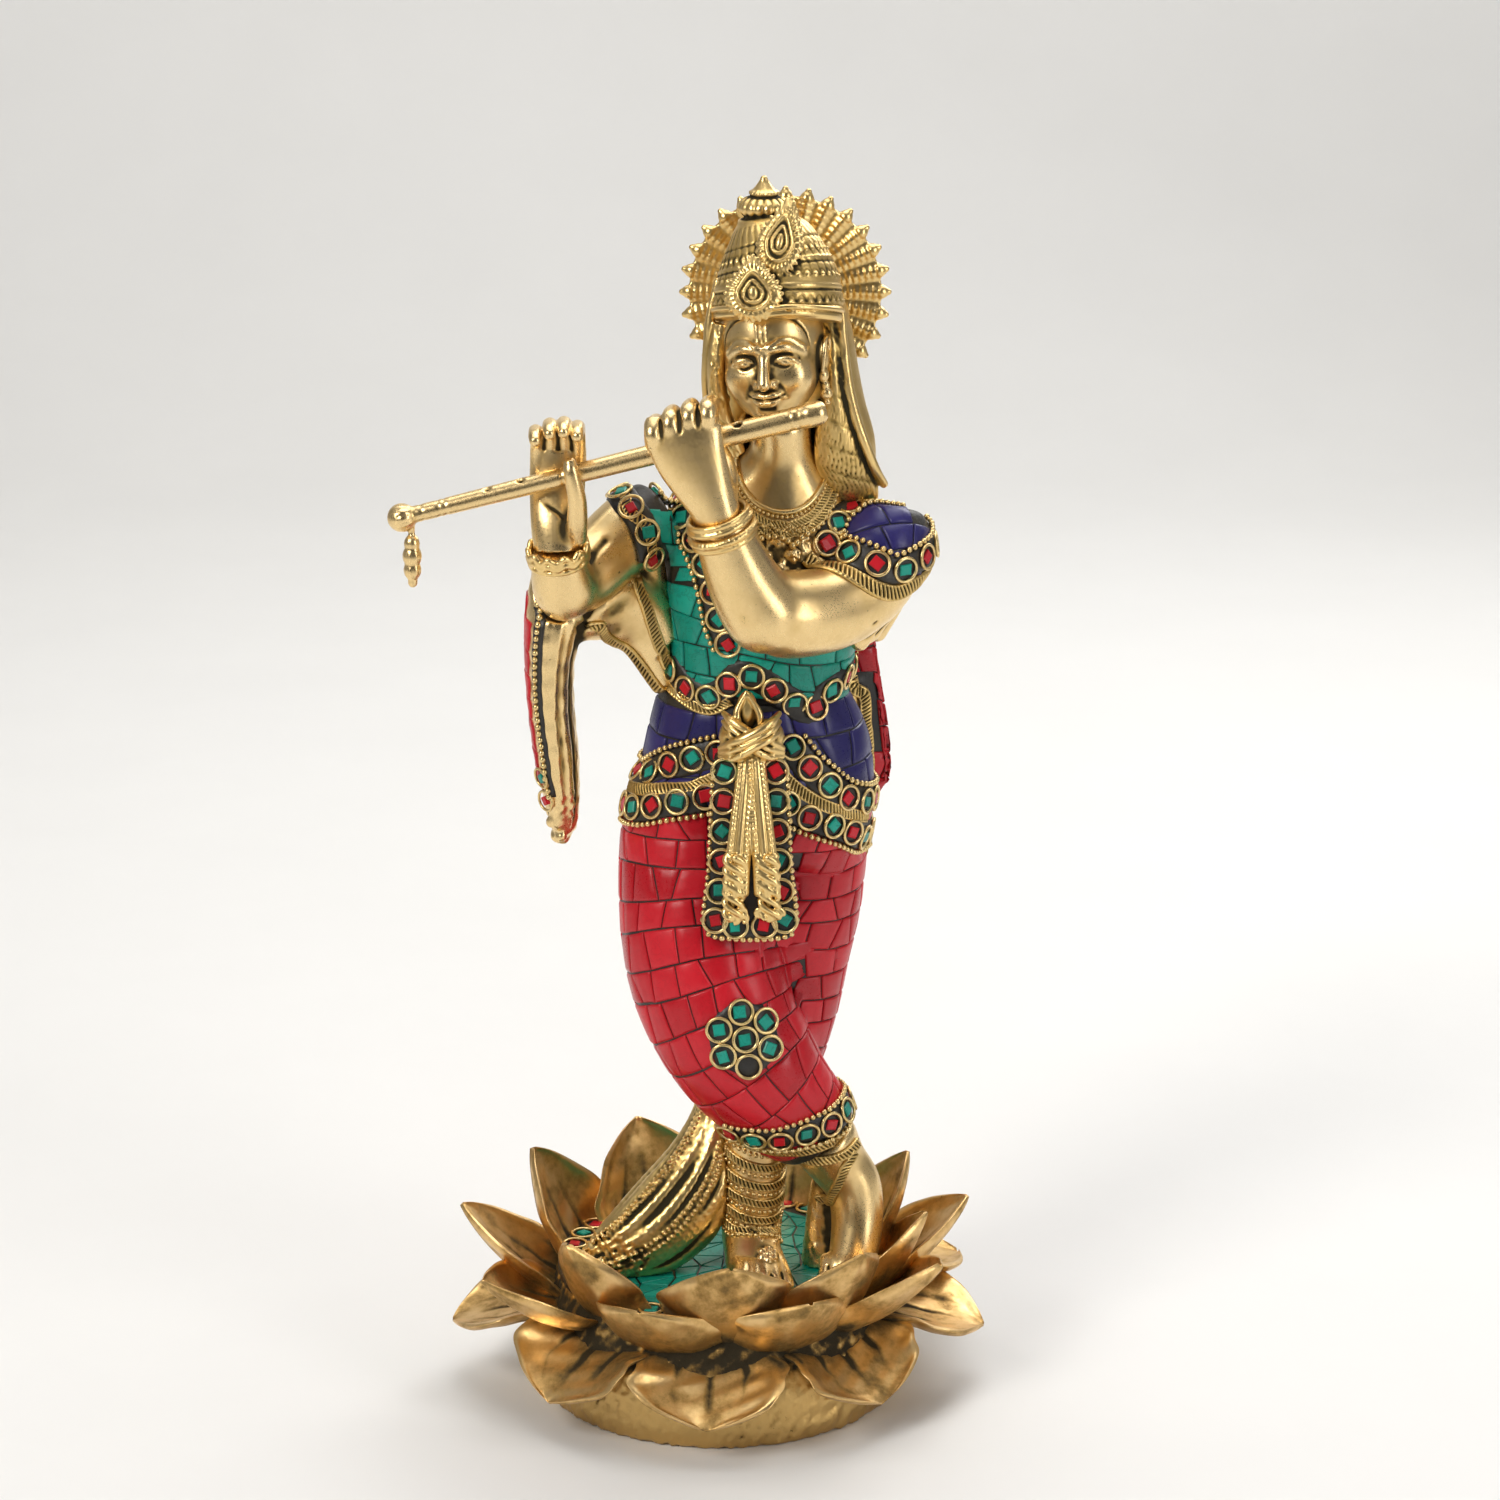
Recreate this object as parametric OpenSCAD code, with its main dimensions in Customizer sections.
// Standing flute player on a lotus base: brass castings brazed together,
// with stone chips and wire-ringed gems set in black resin.
// Front is -Y, the figure's left is +X, and the base stands on z = 0.

/* [Size] */
// Height of the whole statue
statue_h = 343; // [200:1:600]

/* [Lotus base] */
// Radius of the round pedestal at its foot
pedestal_r = 51; // [48:0.5:54]
// Height of the pedestal's casting, under the mosaic floor
pedestal_h = 34; // [30:1:36]
// Thickness of the pedestal's wall
pedestal_wall = 3; // [2:0.5:4.5]
// Thickness of a petal at its middle
petal_t = 2.4; // [1.6:0.1:3.2]

/* [Stone and gem work] */
// Depth of the stone chips and the resin that holds them
inlay_t = 1.6; // [1.2:0.1:2]
// Outer radius of the wire ring round a gem
ring_r = 3.6; // [2.8:0.1:3.8]
// Thickness of that wire
ring_wire = 0.9; // [0.7:0.1:1.2]
// Side of a square gem chip
gem = 3.2; // [2.4:0.1:3.4]

/* [Flute] */
// Radius of the flute at its blown end
flute_r1 = 3.3; // [2.5:0.1:4]
// Radius of the flute at its far end
flute_r2 = 2.2; // [1.8:0.1:3]

/* [Hidden] */
base_h = 343; // the height that every row below is drawn at
petals = 8; // in each of the three rows
floor_z = pedestal_h + 2; // top of the mosaic that the feet stand on
chip_side = min(gem, 1.4 * (ring_r - ring_wire) - 0.1); // the gem's side, kept within its ring
sides = 14; // points round a limb
gold = "goldenrod";
pale_gold = "palegoldenrod";
coral = "firebrick";
turquoise = "lightseagreen";
lapis = "midnightblue";
resin = "black";

// ---- rows: [x, y, z, half width, half depth] along each limb ----
crossed_leg = [
    [-4, -1, 178, 20, 19], [-5, -3, 162, 22.5, 20], [-5.5, -7, 146, 22.5, 20.5],
    [-4, -12, 130, 22.5, 20], [0, -16, 116, 21.5, 19], [7, -18, 103, 20, 17.5],
    [15, -17, 92, 17.5, 15.5], [22, -14, 84, 15.2, 14], [27, -12, 78, 13.2, 12.8]
];
standing_leg = [
    [24, 2, 178, 19.5, 19], [22.5, 4, 160, 19, 18.5], [21, 5, 142, 19, 18],
    [19, 5, 125, 17.5, 17], [17, 5, 108, 16, 16], [14, 3, 92, 13.5, 14], [11, 1, 80, 11, 12]
];
standing_shin = [
    [10.5, 0, 84, 9.5, 10.5], [9.5, -1, 70, 9.2, 10], [8.8, -2, 58, 9, 9.5], [8.2, -3, 47, 8.6, 9.2]
];
standing_foot = [
    [8, 7, 40, 4.5, 3.5], [8, 3, 42, 7, 5.8], [8.3, -4, 44.5, 8, 8], [9.3, -12, 42.5, 8.4, 6],
    [10.6, -20, 40, 9.4, 3.8], [11.8, -27, 38.6, 9.2, 2.5], [12.2, -30, 38, 7, 1.8]
];
crossed_foot = [
    [28, -11, 77, 10.5, 10.5], [33, -9, 68, 8.6, 8.6], [37.2, -8.5, 61.5, 8.2, 8.2],
    [38.6, -10, 53, 7.6, 8], [38, -13, 45.5, 7.2, 7.6], [36.6, -16.5, 40, 6.6, 6],
    [35.4, -19.5, 37.2, 5.4, 3.6]
];
sash_train = [
    [3, 5, 88, 8, 7], [1, 3, 75, 10, 8.5], [-4, -2, 63, 12.5, 9.5], [-12, -7, 53, 14, 10],
    [-21, -11, 46, 13, 8.5], [-30, -13.5, 41.5, 10, 5.5], [-36.5, -14.5, 38.6, 6, 2.4]
];
hips = [
    [8.5, 0, 158, 31.5, 22], [9.5, 0, 168, 32.5, 22.5], [10.5, 1, 178, 32.5, 22.5],
    [10.2, 1, 188, 31.5, 21], [9.4, 1, 197, 28.5, 19.5], [9.2, 0.5, 205, 25.5, 18]
];
torso = [
    [9.4, 0.5, 200, 24, 17.5], [10.5, 0, 210, 24, 17.5], [12, 0, 222, 26, 18.5], [13, 0, 234, 27.5, 19],
    [14, 1, 245, 27.5, 17.5], [15, 1, 254, 24.5, 14.5], [16.2, 0, 262, 15.5, 11.5],
    [17, -1.5, 270, 8.8, 9], [16.5, -4, 280, 8.6, 9]
];
left_upper_arm = [
    [45.5, 1, 253, 9, 9.5], [44.5, -2, 245, 12.8, 12.8], [41, -7, 237, 12.8, 12.8],
    [34, -13.5, 231.5, 12.2, 12.2], [25, -21, 230, 12, 12], [16, -27, 231, 12, 11.8], [12, -29, 232, 9, 9]
];
left_forearm = [
    [16.5, -28.5, 226, 8.5, 8.5], [13, -30, 231, 11.2, 11], [8.5, -32, 238, 10.6, 10.2],
    [4.5, -34.5, 247, 9.2, 8.8], [1.8, -36.5, 255, 8, 7.4], [0.8, -37.5, 259.5, 7.7, 6.9]
];
left_hand = [
    [0.5, -37.5, 260, 7.4, 6.4], [-2.5, -38, 268, 8, 6], [-6.2, -38, 276, 9, 6],
    [-8.6, -37.5, 283, 9.3, 5.8], [-9.8, -36, 289, 8.4, 5.2], [-9.6, -34, 292.5, 6, 4.2]
];
right_upper_arm = [
    [-17, 0, 252, 9, 10], [-23, -4, 249, 10.5, 10.8], [-30, -9, 243, 10.4, 10.4],
    [-36, -15, 238.5, 10, 10], [-40, -20, 236, 8.6, 8.6]
];
right_forearm = [
    [-38.5, -20, 232, 7.5, 7.5], [-40.5, -23, 237, 9, 9], [-41.6, -26.5, 243.5, 8, 7.8],
    [-42, -28.5, 249, 7.2, 6.6]
];
right_hand = [
    [-42, -28.5, 249.5, 6.9, 5], [-42, -28, 256, 7.4, 4.6], [-42, -27.2, 264, 7.8, 4],
    [-41.8, -27.5, 272, 7.8, 3.4], [-41.6, -29.5, 279, 7.6, 3], [-41.5, -33, 282.5, 7.2, 2.6],
    [-41.5, -35.5, 282.8, 6.4, 2]
];
arm_shawl_fall = [
    [-39, -14, 244, 7.5, 8], [-41.5, -14, 236, 9.4, 12], [-44, -13, 225, 7.8, 13.4],
    [-45.3, -12, 213, 6.6, 13.4], [-45, -11, 200, 6.2, 12.8], [-43.8, -10, 187, 6, 11.6],
    [-42.8, -9, 175, 5, 9.6], [-42.4, -8.4, 167, 3.6, 6.6], [-42.3, -8, 161.5, 1.6, 3]
];
side_drape = [
    [-29, -1, 244, 8.5, 9], [-26.5, 1, 233, 8.2, 10], [-21, 2, 220, 7, 11], [-16, 2, 208, 5, 10],
    [-13.5, 2, 201, 2.6, 6]
];
cape = [
    [16, 14, 258, 22, 7], [15.5, 16.5, 246, 31, 6.5], [15, 19, 230, 29.5, 5.6], [15.5, 20.5, 214, 29, 5],
    [16.5, 22, 198, 30, 4.8], [17.5, 24, 184, 31.5, 4.6], [18.5, 25.5, 171, 32, 4.2],
    [19, 26.5, 164.5, 32, 2.2]
];
cape_lining = [
    [20, 19, 200, 21, 3], [20.5, 21, 186, 22, 3], [20.5, 23.5, 172, 23, 3], [20.5, 24.5, 158, 23, 3],
    [20.5, 25, 147, 22.5, 2.8], [20.5, 25, 142, 20, 2]
];
hair = [
    [17, 3, 317, 9, 9], [17.5, 3.5, 311, 15.5, 13.5], [18, 4, 302, 18, 13.6], [18.8, 4.5, 290, 19.2, 12.6],
    [20, 5.5, 278, 20.4, 11.4], [22, 6.5, 267, 21.4, 10.2], [24, 8, 258, 19, 9], [23, 11, 246, 15, 6.5],
    [22, 14, 236, 9, 4]
];
head = [
    [15.5, -8, 281, 5, 5.5], [15.2, -8.4, 285, 8.8, 9.8], [15, -7.6, 291, 11.6, 12.8],
    [14.8, -6.6, 298, 12.8, 14.4],
    [14.6, -5.6, 305, 12.8, 14.6], [14.6, -4.6, 311, 10.6, 12.4], [14.6, -4, 315, 6, 7]
];
crown = [
    [15.6, -4.6, 303.5, 15.6, 16.4], [15.8, -4, 306, 17.4, 17.8], [15.8, -3, 312, 17.4, 16.9],
    [15.4, -1.4, 318, 16, 15.2], [14.2, 0.4, 325, 12.8, 12.2], [13, 1.8, 330, 9.2, 8.8],
    [12.2, 2.4, 333, 5.6, 5.6]
];

// Outline of the knob on the crown: [radius, height]
finial = [[0, 0], [4.6, 0], [7, 2.6], [7.2, 4.6], [5.4, 6.8], [3, 8.4], [2.4, 10.2], [0, 11]];

// Petal rows: [turn from +X, tip radius, tip height, half width]
lower_petals = [
    [-92, 63, 11, 17], [-45, 64, 11, 17], [-5, 75, 17, 16], [24, 76, 24, 16],
    [75, 66, 12, 17], [120, 66, 13, 17], [182, 76, 16, 16], [-135, 65, 11, 17]
];
middle_petals = [
    [-66, 60, 45, 15], [-30, 70, 48, 14], [2, 70, 53, 13], [50, 66, 44, 16],
    [108, 66, 44, 16], [-112, 59, 43, 15], [178, 73, 51, 12], [-158, 71, 40, 15]
];
upper_petals = [
    [-86, 59, 57, 14], [-50, 60, 56, 13], [-14, 59, 55, 11], [14, 55, 62, 12],
    [62, 50, 60, 14], [119, 52, 60, 15], [160, 57, 61, 14], [-141, 54, 54, 13]
];

function count_names(word) = [for (i = [1:petals]) str(word, "_petal_", i)];

// ---- curves ----
function xyz(r) = [r[0], r[1], r[2]];
function unit(v) = v / norm(v);
// Catmull-Rom through rows of any length
function between(a, b, c, d, t) =
    let (bend = 2 * a - 5 * b + 4 * c - d, twist = 3 * b - a - 3 * c + d)
    0.5 * (2 * b + (c - a) * t + bend * t * t + twist * t * t * t);
function smooth(rows, n) =
    let (last = len(rows) - 1)
    [
        for (i = [0:last - 1]) for (k = [0:n - 1])
            between(rows[max(i - 1, 0)], rows[i], rows[i + 1], rows[min(i + 2, last)], k / n),
        rows[last]
    ];
function tangent(path, i) = unit(xyz(path[min(i + 1, len(path) - 1)]) - xyz(path[max(i - 1, 0)]));
// The ring of points round row i, with its radii grown by `grow`
function ring(path, i, ref, grow, n) =
    let (t = tangent(path, i), side = unit(cross(ref, t)), deep = cross(side, t))
    [
        for (k = [0:n - 1])
            xyz(path[i]) + (path[i][3] + grow) * cos(360 * k / n) * side
                + (path[i][4] + grow) * sin(360 * k / n) * deep
    ];
// A point and its outward direction on a limb: share 0 to 1 along it,
// turn in degrees round it from +X to the front
function on_limb(rows, share, turn, grow = 0, ref = [0, 1, 0]) =
    let (
        path = smooth(rows, 4), i = round(share * (len(path) - 1)), t = tangent(path, i),
        side = unit(cross(ref, t)), deep = cross(side, t), a = path[i][3] + grow, b = path[i][4] + grow,
        out = unit(cos(turn) / a * -side + sin(turn) / b * deep)
    )
    [xyz(path[i]) - a * cos(turn) * side + b * sin(turn) * deep, out];

// ---- solids ----
// The rows are drawn at base_h, and each sub-part is scaled to the statue's height
module at_size() scale(statue_h / base_h) children();

// Resizing to nothing keeps the size, and makes the child one mesh
module as_mesh() resize([0, 0, 0]) children();

module skin(rings) {
    n = len(rings[0]);
    last = len(rings) - 1;
    polyhedron(
        [for (r = rings) each r],
        concat(
            [[for (k = [n - 1:-1:0]) k]],
            [
                for (i = [0:last - 1]) for (k = [0:n - 1])
                    let (a = i * n + k, b = i * n + (k + 1) % n) [a, b, b + n, a + n]
            ],
            [[for (k = [0:n - 1]) last * n + k]]
        ),
        convexity = 8
    );
}

module limb(rows, grow = 0, steps = 2, ref = [0, 1, 0], n = sides) {
    path = smooth(rows, steps);
    skin([for (i = [0:len(path) - 1]) ring(path, i, ref, grow, n)]);
}

// Stands a child at a point, with its +Z along a direction
module stand(at) {
    v = at[1];
    translate(at[0]) rotate([0, acos(v[2]), atan2(v[1], v[0])]) children();
}

module wire_ring() {
    difference() {
        cylinder(r = ring_r, h = 1.1, $fn = 32);
        translate([0, 0, -1]) cylinder(r = ring_r - ring_wire, h = 4, $fn = 32);
    }
}

module chip() translate([-chip_side / 2, -chip_side / 2, 0]) cube([chip_side, chip_side, 0.9]);

// ---- lotus base ----
module pedestal_profile(inset) {
    polygon([
        [0, inset], [pedestal_r - inset, inset], [pedestal_r + 1 - inset, 5],
        [pedestal_r + 0.6 - inset, 13], [pedestal_r - 1.4 - inset, 21], [pedestal_r - 4 - inset, 29],
        [pedestal_r - 5 - inset, pedestal_h - inset], [0, pedestal_h - inset]
    ]);
}

module pedestal() {
    color(gold) at_size() difference() {
        rotate_extrude($fn = 96) pedestal_profile(0);
        rotate_extrude($fn = 96) pedestal_profile(pedestal_wall);
    }
}

floor_r = pedestal_r - 5;
mosaic_r = floor_r - 2 * ring_r - 0.8;
module lotus_floor() {
    color(resin) at_size() translate([0, 0, pedestal_h]) difference() {
        cylinder(r = floor_r, h = 1.6, $fn = 96);
        translate([0, 0, 0.6]) cylinder(r = mosaic_r, h = 2, $fn = 96);
    }
}

module floor_mosaic() {
    color(turquoise) at_size() translate([0, 0, pedestal_h + 0.6])
        cylinder(r = mosaic_r, h = floor_z - pedestal_h - 0.6, $fn = 96);
}

floor_rings = floor(360 / (2 * asin(ring_r / (floor_r - ring_r - 0.4)) + 0.6));
module round_floor() {
    for (i = [0:floor_rings - 1]) rotate([0, 0, 360 * i / floor_rings])
        translate([floor_r - ring_r - 0.4, 0, pedestal_h + 1.6]) children();
}
module floor_gem_rings() color(pale_gold) at_size() round_floor() wire_ring();
module floor_gem_chips() color(coral) at_size() round_floor() chip();

// A petal: a cupped leaf from its root at the pedestal to its tip
module petal(turn, tip_r, tip_z, half_w, root_r, root_z, rise) {
    steps = 7;
    n = 4;
    function along(s) = root_r + (tip_r - root_r) * s;
    function up(s) = root_z + (tip_z - root_z) * pow(s, rise);
    function wide(s) = half_w * max(0.05, pow(sin(180 * min(1, 0.16 + 0.84 * s)), 0.7));
    function cup(s, w) = 0.22 * half_w * w * w * sin(180 * min(1, 0.1 + 0.9 * s));
    function thick(s) = petal_t * (1 - 0.45 * s);
    function leaf(s, w, side) =
        let (slope = unit([tip_r - root_r, (tip_z - root_z) * rise * pow(max(s, 0.05), rise - 1)]))
        [
            along(s) - slope[1] * (cup(s, w) + side * thick(s) / 2), wide(s) * w,
            up(s) + slope[0] * (cup(s, w) + side * thick(s) / 2)
        ];
    as_mesh() rotate([0, 0, turn]) skin([
        for (i = [0:steps]) let (s = i / steps)
            concat([for (k = [0:n]) leaf(s, 1 - 2 * k / n, -1)], [for (k = [0:n]) leaf(s, 2 * k / n - 1, 1)])
    ]);
}
module petal_of(row, root_r, root_z, rise) {
    color(gold) at_size() petal(row[0], row[1], row[2], row[3], root_r, root_z, rise);
}
module lower_petal(i) petal_of(lower_petals[i], 44, 22, 1.4);
module middle_petal(i) petal_of(middle_petals[i], 45, 25, 1.3);
module upper_petal(i) petal_of(upper_petals[i], 45.5, 29, 1.5);

// ---- legs and feet ----
module standing_foot_and_shin() {
    color(gold) at_size() as_mesh() difference() {
        union() {
            limb(standing_shin);
            limb(standing_foot, ref = [0, 0, 1]);
        }
        legs(-inlay_t);
        translate([-40, -50, floor_z - 20]) cube([100, 100, 20]);
    }
}
module standing_anklets() {
    color(pale_gold) at_size() for (s = [0.35, 0.5, 0.65, 0.8, 0.95]) {
        at = smooth(standing_shin, 8)[round(s * 24)];
        translate(xyz(at)) rotate([-6, 5, 0])
            rotate_extrude($fn = 48) translate([at[3] + 0.9, 0]) circle(r = 1, $fn = 16);
    }
}
module crossed_foot() {
    color(gold) at_size() as_mesh() difference() {
        limb(crossed_foot, steps = 3);
        legs(0);
        translate([0, -50, floor_z - 20]) cube([100, 100, 20]);
    }
}
module sash_train() {
    color(gold) at_size() as_mesh() difference() {
        limb(sash_train);
        legs(0);
        limb(standing_shin);
        limb(standing_foot, ref = [0, 0, 1]);
        translate([-60, -50, floor_z - 20]) cube([100, 100, 20]);
    }
}
module legs(grow) {
    limb(crossed_leg, grow);
    limb(standing_leg, grow);
}
module lower_body() {
    color(gold) at_size() as_mesh() difference() {
        union() {
            legs(-inlay_t);
            limb(hips, -inlay_t);
        }
        translate([-50, -50, 204]) cube([120, 100, 20]);
    }
}
module dhoti_inlay() {
    color(coral) at_size() as_mesh() difference() {
        legs(0);
        legs(-inlay_t);
        limb(hips, 0);
    }
}
rosette_r = 7.6; // from the middle of the knee's rosette to the rings round it
module knee_and_hem_gem_rings() {
    color(pale_gold) at_size() {
        for (turn = [0:36:359]) stand(on_limb(crossed_leg, 0.97, turn, 0.05)) wire_ring();
        stand(on_limb(crossed_leg, 0.64, 100, 0.6)) {
            wire_ring();
            for (i = [0:5]) rotate([0, 0, 60 * i]) translate([rosette_r, 0, -0.4]) wire_ring();
        }
    }
}

// ---- hips, apron and waist ----
module hip_inlay() {
    color(lapis) at_size() as_mesh() difference() {
        limb(hips, 0);
        limb(hips, -inlay_t);
        translate([-50, -50, 203.5]) cube([120, 100, 20]);
        translate([-50, -50, 141]) cube([120, 100, 20]);
    }
}
module waist_gem_rings() {
    color(pale_gold) at_size() for (share = [0.25, 0.55]) for (turn = [0:15:359])
        if (abs(turn - 90) > 28) stand(on_limb(hips, share, turn, 0.05)) wire_ring();
}
apron_w = 11; // half width of the front apron
module apron_outline(inset) {
    hull() {
        translate([-apron_w + inset, 0]) square([2 * (apron_w - inset), 1]);
        for (x = [-1, 1]) translate([x * (apron_w - 5), -44 + inset]) circle(r = 5, $fn = 32);
    }
}
module on_apron() translate([8.5, -20.5, 190]) rotate([84, 0, 0]) children();
module apron() {
    color(gold) at_size() as_mesh() difference() {
        on_apron() linear_extrude(8) apron_outline(0);
        legs(0);
        limb(hips, 0);
    }
}
module apron_gem_rings() {
    color(pale_gold) at_size() on_apron() translate([0, 0, 8.05]) {
        for (x = [-1, 1]) for (i = [0:4]) translate([x * (apron_w - 1.6), -8 - 7.6 * i]) wire_ring();
        for (x = [-0.5, 0.5]) translate([x * 7.8, -45]) wire_ring();
    }
}
module waist_knot() {
    color(gold) at_size() as_mesh() difference() {
        union() {
            translate([8.8, -22.5, 198]) scale([1, 0.85, 0.75]) sphere(r = 9, $fn = 24);
            hull() {
                translate([8.8, -29, 193]) sphere(r = 2.6, $fn = 32);
                translate([3.4, -33.4, 156]) sphere(r = 2, $fn = 32);
                translate([13.6, -33.4, 156]) sphere(r = 2, $fn = 32);
            }
        }
        on_apron() linear_extrude(8) apron_outline(0);
        limb(hips, 0);
        limb(torso, 1.4);
    }
}

// ---- torso ----
module torso() {
    color(gold) at_size() as_mesh() difference() {
        limb(torso);
        translate([-50, -50, 184]) cube([120, 100, 20]);
        limb(head);
    }
}
module sash_path(grow) {
    // from the right shoulder down across the chest, and round the waist
    hull() {
        translate([-17, -8, 258]) sphere(r = 9 + grow, $fn = 24);
        translate([-6, -9, 206]) sphere(r = 12 + grow, $fn = 24);
    }
    hull() {
        translate([-6, -9, 206]) sphere(r = 12 + grow, $fn = 24);
        translate([26, -8, 209]) sphere(r = 13 + grow, $fn = 24);
    }
}
module chest_sash() {
    color(turquoise) at_size() as_mesh() difference() {
        intersection() {
            limb(torso, 1.4);
            sash_path(4);
        }
        limb(torso, 0);
        limb(hips, 0);
        limb(right_upper_arm);
        translate([-50, -50, 184]) cube([120, 100, 20]);
    }
}
module necklace() {
    color(pale_gold) at_size() translate([17, -9.5, 261.5]) rotate([58, 0, 0]) scale([1, 1.15, 1])
        rotate_extrude($fn = 48) translate([13.2, 0]) circle(r = 2.2, $fn = 16);
}

// ---- arms and hands ----
module left_arm() {
    color(gold) at_size() as_mesh() difference() {
        union() {
            limb(left_upper_arm);
            limb(left_forearm);
        }
        limb(torso, 1.4);
        limb(left_hand);
    }
}
module bangle(r, wire) rotate_extrude($fn = 48) translate([r, 0]) circle(r = wire, $fn = 16);
module bracelets() {
    color(pale_gold) at_size() {
        translate([1, -37.2, 257.5]) rotate([6, -14, 0]) bangle(7.9, 1.1);
        translate([-42, -28.3, 248.5]) rotate([12, 4, 0]) bangle(7.2, 1.2);
    }
}
module flute_bar(grow = 0) {
    from = [27, -27, 285.5];
    to = [-82, -34, 259];
    stand([from, unit(to - from)])
        cylinder(r1 = flute_r1 + grow, r2 = flute_r2 + grow, h = norm(to - from), $fn = 32);
}
module left_hand() {
    color(gold) at_size() as_mesh() difference() {
        limb(left_hand);
        flute_bar(0.05);
    }
}
module left_shoulder_cap() {
    color(lapis) at_size() as_mesh() difference() {
        intersection() {
            limb(left_upper_arm, 1.6);
            translate([46, -2, 251]) sphere(r = 18, $fn = 32);
        }
        limb(left_upper_arm);
        limb(torso, 1.4);
    }
}
module left_shoulder_gem_rings() {
    color(pale_gold) at_size() for (turn = [-80:33:230])
        stand(on_limb(left_upper_arm, 0.33, turn, 1.65)) wire_ring();
}
module right_arm() {
    color(gold) at_size() as_mesh() difference() {
        union() {
            limb(right_upper_arm);
            limb(right_forearm);
        }
        limb(torso, 1.4);
        limb(right_hand);
    }
}
module right_shoulder_cap() {
    color(turquoise) at_size() as_mesh() difference() {
        intersection() {
            limb(right_upper_arm, 1.4);
            translate([-23, -30, 220]) cube([20, 60, 60]);
        }
        limb(right_upper_arm);
        limb(torso, 1.4);
    }
}
module right_hand() {
    color(gold) at_size() as_mesh() difference() {
        limb(right_hand);
        flute_bar(0.05);
    }
}
pendant_top = [-80, -33.9, 256.5];
module flute() {
    color(gold) at_size() {
        flute_bar();
        translate([-82, -34, 259]) sphere(r = 3.4, $fn = 32);
        hull() {
            translate(pendant_top) sphere(r = 1.2, $fn = 16);
            translate(pendant_top - [0, 0, 12]) sphere(r = 2.1, $fn = 16);
            translate(pendant_top - [0, 0, 15]) sphere(r = 0.8, $fn = 16);
        }
    }
}

// ---- shawl ----
module arm_shawl() {
    color(gold) at_size() as_mesh() difference() {
        union() {
            limb(arm_shawl_fall);
            limb(side_drape);
            intersection() {
                limb(right_upper_arm, 1.3);
                translate([-60, -40, 200]) cube([37, 80, 60]);
            }
        }
        limb(right_upper_arm);
        limb(right_forearm);
        limb(torso, 1.4);
        limb(hips);
    }
}
module cape() {
    color(gold) at_size() as_mesh() difference() {
        union() {
            limb(cape, -1.4);
            limb(cape_lining);
        }
        limb(torso, 1.4);
        limb(hips);
        legs(0);
        limb(hair);
        limb(left_upper_arm, 1.6);
        limb(right_upper_arm, 1.4);
    }
}
module cape_inlay() {
    color(coral) at_size() as_mesh() difference() {
        limb(cape);
        limb(cape, -1.4);
        limb(cape_lining);
        limb(torso, 1.4);
        limb(hips);
        legs(0);
        limb(hair);
        limb(left_upper_arm, 1.6);
        limb(right_upper_arm, 1.4);
    }
}

// ---- head ----
module head() color(gold) at_size() limb(head);
module hair_and_veil() {
    color(gold) at_size() as_mesh() difference() {
        limb(hair);
        limb(head);
        limb(torso, 1.4);
        limb(left_upper_arm, 1.6);
    }
}
module crown() {
    color(gold) at_size() as_mesh() difference() {
        union() {
            limb(crown);
            translate([12, 2.6, 332]) rotate_extrude($fn = 24)
                polygon(finial);
            translate([10, -19.5, 314]) rotate([72, 0, 4]) scale([0.85, 1, 0.3]) sphere(r = 8.5, $fn = 24);
            translate([16, -15, 325.5]) rotate([66, 0, -18]) scale([0.7, 1, 0.3]) sphere(r = 9.5, $fn = 24);
        }
        limb(head);
        limb(hair);
    }
}

halo_r = 27.5; // to the tips of the halo's spikes
halo_teeth = 22;
module halo() {
    color(gold) at_size() translate([18, 16, 309.5]) rotate([90, 0, 0]) linear_extrude(3, center = true)
        polygon([
            for (i = [0:2 * halo_teeth - 1])
                (i % 2 == 0 ? halo_r : halo_r - 3.5) * [cos(180 * i / halo_teeth), sin(180 * i / halo_teeth)]
        ]);
}

pedestal();
lotus_floor();
floor_mosaic();
floor_gem_rings();
floor_gem_chips();
for (i = [0:petals - 1]) {
    lower_petal(i);
    middle_petal(i);
    upper_petal(i);
}
standing_foot_and_shin();
standing_anklets();
crossed_foot();
sash_train();
lower_body();
dhoti_inlay();
knee_and_hem_gem_rings();
hip_inlay();
waist_gem_rings();
waist_knot();
apron();
apron_gem_rings();
torso();
chest_sash();
necklace();
left_arm();
bracelets();
left_hand();
left_shoulder_cap();
left_shoulder_gem_rings();
right_arm();
right_shoulder_cap();
right_hand();
flute();
arm_shawl();
cape();
cape_inlay();
head();
hair_and_veil();
crown();
halo();
